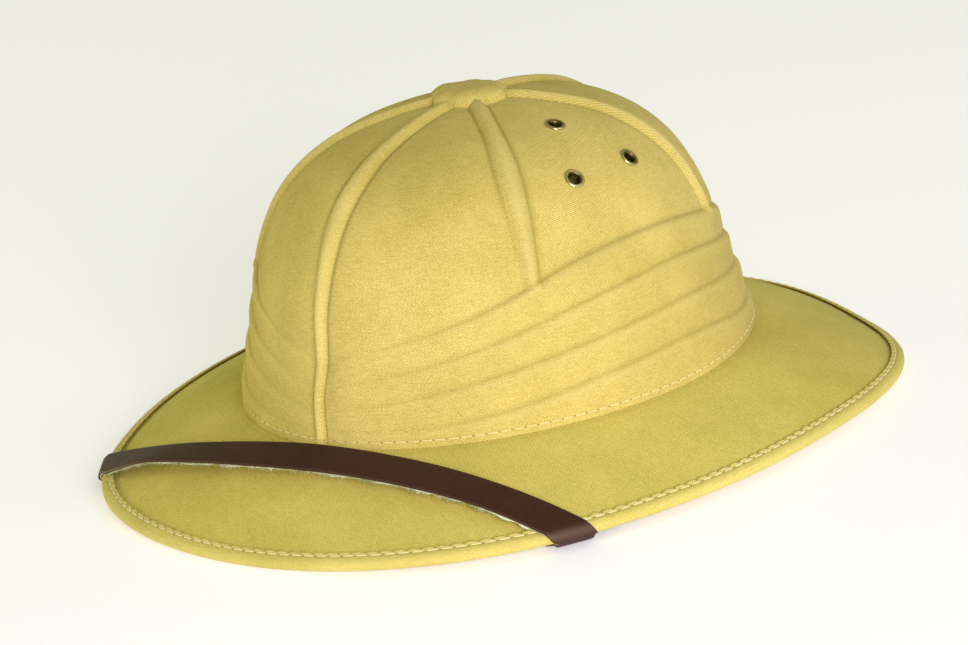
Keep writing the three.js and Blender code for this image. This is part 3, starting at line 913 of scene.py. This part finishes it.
# Cross section: distance from the tape's inner edge, height, how much the stitches pinch it.
TAPE = [
    (2.0, 1.2, 0.0), (1.3, 1.3, 0.3), (0.7, 1.45, 0.7), (0.25, 1.6, 1.0), (0.0, 1.85, 1.0),
    (0.05, 2.14, 1.0), (0.32, 2.36, 1.0), (0.7, 2.4, 1.0), (1.05, 2.24, 0.8), (1.32, 2.02, 0.4),
    (1.5, 1.92, 0.2), (1.7, 1.98, 0.1), (2.1, 2.16, 0.0), (2.65, 2.28, 0.0),
]
NOSE = [
    (binding_width + binding_half * math.cos(math.radians(t)),
     binding_half * math.sin(math.radians(t)), 0.0)
    for t in range(90, -91, -15)
]
UNDER = [
    (2.6, -2.28, 0.0), (1.9, -2.2, 0.1), (1.5, -2.02, 0.3), (1.1, -2.2, 0.7), (0.5, -2.2, 0.7),
    (0.05, -1.9, 0.6), (0.1, -1.5, 0.4), (0.7, -1.32, 0.0), (2.9, -1.3, 0.0), (2.9, 1.25, 0.0),
]
groove = 1.5  # how far out from the tape's edge its line of stitches runs
ply = 1.5  # height of the tape's lower ply, towards which a stitch pulls its edge
tape_rows, tape_painted_light = [], []
for w, h, pinched in TAPE + NOSE + UNDER:
    phase = stitch_phase - 0.4 * max(0.0, min(groove, w)) / groove
    puff = np.abs(np.sin(np.pi * phase)) ** 0.55
    pull = pinched * (1 - puff)
    low = ply if h > 0 else -ply
    rolled = h + (low - h) * 0.6 * pull
    outwards = w - binding_width + 0.45 * pull - 0.06 * pinched
    tape_rows.append(on_brim(tape_angles, 1, rolled, outwards))
    # The attribute here: painted highlight on the tape puffed between stitches, and painted shade
    # where stitches pinch it, along the stitch groove and in the mouth under the lip.
    mouth = h > 0 and w < 2.1 and h < 1.7
    sunk = abs(w - groove) < 0.25 and abs(h) > 1.8
    tape_painted_light.append(0.45 * pinched * puff * (h > 2.2) - 0.8 * pull - 1.0 * mouth - 0.7 * sunk)
tape_rings = np.stack(tape_rows)
tape_rings[..., 2] = np.maximum(tape_rings[..., 2], 0)
tape_count = len(tape_rings)
tape_lengths = run_length(tape_rings[:, 0])
tape_round = np.append(along_rim, rim_length[-1]) * MM
tape_over = np.append(tape_lengths, tape_lengths[-1] + 1)[:, None] * MM
tape_uv = corners(*[
    np.stack(np.broadcast_arrays(u, tape_over), -1) for u in (tape_round[:-1], tape_round[1:])
])
tape = mesh_object(
    "binding_tape", tape_rings.reshape(-1, 3), grid_faces(tape_count, tape_columns, True),
    [tape_cloth], None, tape_uv.reshape(-1, 2), {"wear_and_painted_light": np.stack(tape_painted_light).ravel()},
)
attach(tape, "root")
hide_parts("brim_binding")

# ---------------------------------------------------------------- stitches


stitch_length, stitch_radius, hem_radius = 3.5, 0.3, 0.2
stitch_height = 2.06  # of the binding's threads, from the brim's middle


def stitch_row(name, angles, point_at, away_at, radius):
    """Threads at a row of angles: point_at gives their places, away_at the cloth's normal."""
    places = point_at(angles)
    x = unit(point_at(angles + 0.2) - point_at(angles - 0.2))
    z = away_at(angles)
    y = unit(np.cross(z, x))
    shape = capsule(radius, stitch_length)
    piece = scatter(name, shape, places, list(zip(x, y, z)), sewing_thread)
    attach(piece, "root")
    return piece


stitch_angles = even_angles(stitches, rim_length, 0.9)
groove_out = groove - binding_width
for name, sign in (("binding_stitches_top", 1), ("binding_stitches_under", -1)):
    threads = stitch_row(
        name, stitch_angles,
        lambda a, s=sign: on_brim(a, 1, s * stitch_height, groove_out),
        lambda a, s=sign: s * brim_frame(a, np.ones_like(a))[1],
        stitch_radius,
    )


def hem_point(angle, out=0.0):
    u = u_at_height(np.full(len(angle), hem_line))
    return outer_point(angle, u) + dome_normal(angle, u) * out


hem_fine = hem_point(fine_angle)
hem_length = run_length(hem_fine)
hem_pitch = 4.4
hem_count = round(hem_length[-1] / hem_pitch)
hem_angles = even_angles(hem_count, hem_length)
hole_angles = even_angles(hem_count, hem_length, 0.5)
hem_threads = stitch_row(
    "hem_stitches", hem_angles, lambda a: hem_point(a, 0.02),
    lambda a: dome_normal(a, u_at_height(np.full(len(a), hem_line))), hem_radius,
)
# The needle holes are small dark stitches sunk in the hem: painted shade standing in for the
# holes.
pit = capsule(0.24, 0.65)
hole_x = unit(hem_point(hole_angles + 0.2) - hem_point(hole_angles - 0.2))
hole_z = dome_normal(hole_angles, u_at_height(np.full(hem_count, hem_line)))
hole_y = unit(np.cross(hole_z, hole_x))
holes = scatter(
    "hem_needle_holes", pit, hem_point(hole_angles, -0.12), list(zip(hole_x, hole_y, hole_z)),
    needle_hole_shade,
)
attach(holes, "root")

# ---------------------------------------------------------------- the chin strap

strap_away = binding_half + fit + strap_thickness / 2
strap_slant = 0.85  # the share of its slant that the strap keeps where it folds round the edge


def one(function, *values):
    """A surface function at one place."""
    found = function(*[np.array([float(x)]) for x in values])
    return [f[0] for f in found] if isinstance(found, tuple) else found[0]


def strap_start(side):
    return side * (strap_left_angle if side > 0 else strap_right_angle)


strap_right = one(on_brim, strap_start(-1), 1, strap_away)
strap_left = one(on_brim, strap_start(1), 1, strap_away)


def strap_front(share):
    """Place, outward direction, the rim's direction and how far the strap's ends follow it."""
    middle = 4 * share * (1 - share)
    at = strap_right + (strap_left - strap_right) * share
    at[1] -= strap_bow * middle * (1 + strap_skew * (1 - 2 * share))
    angle = math.degrees(math.atan2(at[0], -at[1]))
    radius = math.hypot(at[0], at[1])
    reach = one(reach_at, angle)
    height = strap_away + strap_lift * middle
    out = (radius - one(smooth_seam, angle)) / reach
    seat = one(on_brim, angle, out, height)
    out -= (math.hypot(seat[0], seat[1]) - radius) / reach
    at[2] = one(on_brim, angle, out, height)[2]
    side = -1 if share < 0.5 else 1
    turned = float(smooth(1 - 4 * (0.5 - abs(share - 0.5))))
    return at, one(brim_frame, angle, out)[1], one(brim_frame, strap_start(side), 1)[2], turned


def strap_lean(share):
    """How far the strap's front edge is tipped up, in radians, along the wearer's right."""
    return math.radians(9.5) * float(smooth((0.55 - share) / 0.4) * smooth(share / 0.2))


def strap_turn(side, share):
    """The fold round the brim's edge, from above (0) to below (1)."""
    start = strap_start(side)
    leaving = (strap_left - strap_right) * side
    rim_across, _, rim_round = one(brim_frame, start, 1)
    slant = strap_slant * abs(leaving @ rim_round / (leaving @ rim_across))
    degree = np.linalg.norm(one(brim_point, start + 1, 1) - one(brim_point, start, 1))
    angle = start + side * slant * math.pi * strap_away * min(share, 0.5) / degree
    across, up, round_ = one(brim_frame, angle, 1)
    turn = math.pi * (0.5 - share)
    away = up * math.sin(turn) + across * math.cos(turn)
    return one(brim_point, angle, 1) + away * strap_away, away, round_, 1.0


def strap_hidden(side, share):
    """The straight run under the brim, from the fold (0) to the sewn end (1)."""
    at, away, edge, _ = strap_turn(side, 1)
    angle = side * strap_anchor_angle
    out = strap_anchor_out / one(reach_at, angle)
    anchor = one(on_brim, angle, out, -(half + fit + strap_thickness / 2))
    away = unit(away + (-one(brim_frame, angle, out)[1] - away) * share)
    return at + (anchor - at) * share, away, edge, float(smooth(1 - 3 * share))


hidden_steps, turn_steps, front_steps = 24, 18, 150
first_front = hidden_steps + turn_steps
last_front = first_front + front_steps
strap_steps = [strap_hidden(-1, k / hidden_steps) for k in range(hidden_steps, 0, -1)]
strap_steps += [strap_turn(-1, k / turn_steps) for k in range(turn_steps, 0, -1)]
strap_steps += [strap_front(k / front_steps) for k in range(front_steps + 1)]
strap_steps += [strap_turn(1, k / turn_steps) for k in range(1, turn_steps + 1)]
strap_steps += [strap_hidden(1, k / hidden_steps) for k in range(1, hidden_steps + 1)]
strap_at, strap_out, strap_edge, strap_turned = (np.array(part) for part in zip(*strap_steps))
padded = np.concatenate([strap_at[:1], strap_at, strap_at[-1:]])
ahead = padded[2:] - padded[:-2]
square = unit(np.cross(ahead, strap_out))
aligned = strap_edge / (strap_edge * square).sum(1, keepdims=True)
strap_across = square + (aligned - square) * strap_turned[:, None]
# Where it leans, it turns about its rear edge.
lean = np.zeros((len(strap_at), 1))
lean[first_front : last_front + 1, 0] = [
    strap_lean(k / front_steps) for k in range(front_steps + 1)
]
level = strap_across
strap_across = level * np.cos(lean) + strap_out * np.sin(lean)
strap_out = strap_out * np.cos(lean) - level * np.sin(lean)
strap_at = strap_at + (strap_across - level) * strap_width / 2
strap_along = run_length(strap_at)


def strip(name, outline, material, shift=None, wear_and_painted_light=None):
    """A strip along the strap's path. outline has (across, away) pairs, in millimetres."""
    rings = []
    for i in range(len(strap_at)):
        ring = []
        for j, (across, away) in enumerate(outline):
            more = shift(i, j) if shift else 0.0
            ring.append(strap_at[i] + strap_across[i] * (across + more) + strap_out[i] * away)
        rings.append(ring)
    rings = np.array(rings)
    count, around = rings.shape[:2]
    faces = [face[::-1] for face in grid_faces(count, around)]
    faces.append(list(range(around)))
    faces.append([(count - 1) * around + j for j in range(around)][::-1])
    loop = run_length(np.array(outline + outline[:1]))
    uv = []
    for i in range(count - 1):
        for j in range(around):
            a, b = strap_along[i] * MM, strap_along[i + 1] * MM
            c, d = loop[j] * MM, loop[j + 1] * MM
            uv += [(b, c), (b, d), (a, d), (a, c)]
    uv += [(0, 0)] * (2 * around)
    values = [wear_and_painted_light(i, j) if wear_and_painted_light else 0.0 for i in range(count) for j in range(around)]
    return mesh_object(
        name, rings.reshape(-1, 3), faces, [material], None, uv, {"wear_and_painted_light": values}, sharp=40,
    )


edge = strap_width / 2
top, low = strap_thickness / 2, -0.22
LEATHER = [
    (-edge + 0.05, low), (-edge, low + 0.25), (-edge + 0.02, top - 0.35), (-edge + 0.3, top - 0.1),
    (-edge + 0.8, top - 0.02), (-4.5, top), (-2.2, top + 0.02), (0, top + 0.03), (2.2, top + 0.02),
    (4.5, top), (edge - 0.8, top - 0.02), (edge - 0.3, top - 0.1), (edge - 0.02, top - 0.35),
    (edge, low + 0.25), (edge - 0.05, low), (4, low), (0, low), (-4, low),
]


# Lighter along the top edges for wear, and on top along each fold round the brim's edge as a
# painted highlight.
def strap_wear_and_highlight(i, j):
    across, away = LEATHER[j]
    rubbed = 0.5 if abs(abs(across) - edge) < 0.4 and away > 0 else 0.0
    fold = max(math.exp(-(((i - m) / 3.0) ** 2)) for m in (first_front - 5, last_front + 5))
    return max(rubbed * 0.5, 0.55 * fold if away > 0 else 0.0)


strap = strip("chin_strap_leather", LEATHER, strap_leather, wear_and_painted_light=strap_wear_and_highlight)
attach(strap, "root")
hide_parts("chin_strap")

rng = np.random.default_rng(7)
ragged = np.convolve(rng.normal(0, 1, len(strap_at) + 8), [0.1, 0.2, 0.4, 0.2, 0.1], "same")[4:-4]
ragged = 0.35 + 0.95 * ragged
ragged[: first_front + 3] = 0
ragged[last_front - 2 :] = 0
BACKING = [
    (-edge + 0.1, -0.26), (edge - 0.25, -0.26), (edge - 0.05, -0.32), (edge - 0.05, -0.5),
    (edge - 0.3, -0.58), (0, -0.6), (-edge + 0.3, -0.6), (-edge + 0.1, -0.5),
]


def ragged_edge(i, j):
    return float(np.clip(ragged[i], -0.4, 1.5)) if BACKING[j][0] > edge - 0.5 else 0.0


strap_back = strip("strap_backing", BACKING, backing_felt, shift=ragged_edge)
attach(strap_back, "root")

# Loose fibres of the backing, in tufts along the front cut edge.
fibre_points, fibre_faces = [], []
tuft_count, fibre_count, fibre_rings, fibre_sides = 40, 900, 4, 3
tufts = rng.uniform(first_front + 2, last_front - 2, tuft_count)
for _ in range(fibre_count):
    at = int(np.clip(rng.choice(tufts) + rng.normal(0, 1.6), first_front, last_front))
    along = unit(ahead[at])
    start = strap_at[at] + strap_across[at] * (edge - 0.5)
    start = start + strap_out[at] * rng.uniform(-0.55, -0.3)
    start = start + along * rng.uniform(-0.9, 0.9)
    lean, length = rng.normal(0, 1.1), rng.uniform(0.8, 2.3)
    heading = unit(strap_across[at] + along * lean + strap_out[at] * rng.normal(-0.15, 0.18))
    bend = unit(along * rng.normal(0, 1) + strap_out[at] * rng.normal(-0.3, 0.5)) * length * 0.35
    radius = rng.uniform(0.06, 0.13)
    base = len(fibre_points)
    for k in range(fibre_rings):
        t = k / (fibre_rings - 1)
        centre = start + heading * length * t + bend * t * t
        for x, y in zip(*circle(fibre_sides)):
            fibre_points.append(centre + radius * (1 - 0.6 * t) * (x * along + y * strap_out[at]))
    fibre_faces += grid_faces(fibre_rings, fibre_sides, start=base)
    tip = len(fibre_points) - 1
    fibre_faces += [[base, base + 1, base + 2], [tip, tip - 1, tip - 2]]
fibres = mesh_object("strap_fibres", fibre_points, fibre_faces, [backing_felt])
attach(fibres, "root")

# ---------------------------------------------------------------- eyelets

# An eyelet's section: radius, and height over the shell's surface.
EYELET = [
    (eyelet_hole, -5.2), (3.1, -5.2), (3.55, -5.1), (eyelet_radius, -4.85), (3.55, -4.6),
    (2.9, -4.45), (2.5, -4.3), (2.5, 0.0), (2.95, 0.02), (3.5, -0.02), (eyelet_radius, 0.1),
    (eyelet_radius, 0.3), (3.5, 0.48), (3.15, 0.58), (2.75, 0.55), (2.4, 0.4), (2.14, 0.15),
    (2.02, -0.2), (eyelet_hole, -0.8), (eyelet_hole, -2.5),
]
eyelet_sides = 48


def eyelet_wear(radius, height):
    """Rubbed brightest on the outer roll, and a little on top and inside."""
    if height > 0.25 and radius > 3.4:
        return 1.0
    if height > 0.5:
        return 0.5
    return 0.4 if height < -4.4 and radius > 3 else 0.0


for name, at, normal in seats():
    points, faces = lathe(EYELET, eyelet_sides)
    turn = np.array(upright(normal))
    rubbed = np.repeat([eyelet_wear(r, z) for r, z in EYELET], eyelet_sides)
    ring = mesh_object(
        f"eyelet_ring_{name}", at + points @ turn.T, faces, [aged_brass], None, None,
        {"wear_and_painted_light": rubbed},
    )
    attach(ring, "root")
    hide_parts(f"eyelet_{name}")

# ---------------------------------------------------------------- floor, light and camera


def stage_material(name, colour, glow):
    """A plain sweep of white paper that is lit from behind as well."""
    s = Shader(name)
    soft = s.noise(s.object_place(), 1.5, 2.0)
    shade = s.mix(s.ramp(soft, 0.3, 0.7), rgb(*[c * 0.985 for c in colour]), rgb(*colour))
    return s.finish(
        Base_Color=shade, Roughness=0.9, Specular_IOR_Level=0.1,
        Emission_Color=rgb(1.0, 0.96, 1.0), Emission_Strength=glow,
    )


floor_mesh = bpy.data.meshes.new("floor")
span, sunk = 6.0, -0.0003
corners = [(x * span, y * span, sunk) for x, y in ((-1, -1), (1, -1), (1, 1), (-1, 1))]
floor_mesh.from_pydata(corners, [], [(0, 1, 2, 3)])
floor_mesh.materials.append(stage_material("pale floor", (0.87, 0.88, 1.0), 0.4))
floor = add_object("floor", floor_mesh)

world = bpy.data.worlds.new("studio")
bpy.context.scene.world = world
world.use_nodes = True
background = world.node_tree.nodes["Background"]
background.inputs["Color"].default_value = (0.95, 1.0, 0.6, 1)
background.inputs["Strength"].default_value = 0.34


def towards(azimuth, elevation):
    """The direction from the hat to an azimuth and elevation in degrees."""
    a, e = math.radians(azimuth), math.radians(elevation)
    return Vector((math.sin(a) * math.cos(e), -math.cos(a) * math.cos(e), math.sin(e)))


def area_light(name, azimuth, elevation, distance, size, watts, colour):
    """A soft square light that looks at the crown. Distances are in metres."""
    back = towards(azimuth, elevation)
    data = bpy.data.lights.new(name, "AREA")
    data.shape, data.size, data.energy, data.color = "SQUARE", size, watts, colour
    light = add_object(name, data)
    light.location = Vector((0, 0, lit_height)) + back * distance
    light.rotation_mode = "QUATERNION"
    light.rotation_quaternion = back.to_track_quat("Z", "Y")


lit_height = 0.07
area_light("key", 50, 14.5, 2.2, 1.0, 40.5, (1.0, 0.94, 1.0))
area_light("left fill", -80, 5.5, 2.0, 0.4, 10.5, (1.0, 1.0, 0.35))
area_light("back light", 115, 42, 2.2, 0.8, 4.5, (0.95, 1.0, 0.85))

# The photograph's view: azimuth, elevation and roll, from a distance through a long lens.
azimuth, elevation, roll = 37.86, 17.1, math.radians(-6.9)
distance, focal_pixels, shift_right, shift_up = 1261.0, 3557.0, -3.1, -15.2
frame_width, sensor_width, look_height = 968, 36, 50
back = towards(azimuth, elevation)
level = towards(azimuth + 90, 0)
above = back.cross(level)
right = level * math.cos(roll) + above * math.sin(roll)
up = above * math.cos(roll) - level * math.sin(roll)
camera_data = bpy.data.cameras.new("camera")
camera_data.sensor_width = sensor_width
camera_data.lens = focal_pixels / frame_width * sensor_width
camera_data.clip_start, camera_data.clip_end = 0.05, 50
camera = add_object("camera", camera_data)
place = Vector((0, 0, look_height)) + right * shift_right + up * shift_up + back * distance
turned = Matrix((right, up, back)).transposed().to_4x4()
camera.matrix_world = Matrix.Translation(place * MM) @ turned
bpy.context.scene.camera = camera
bpy.context.scene.view_settings.view_transform = "Standard"
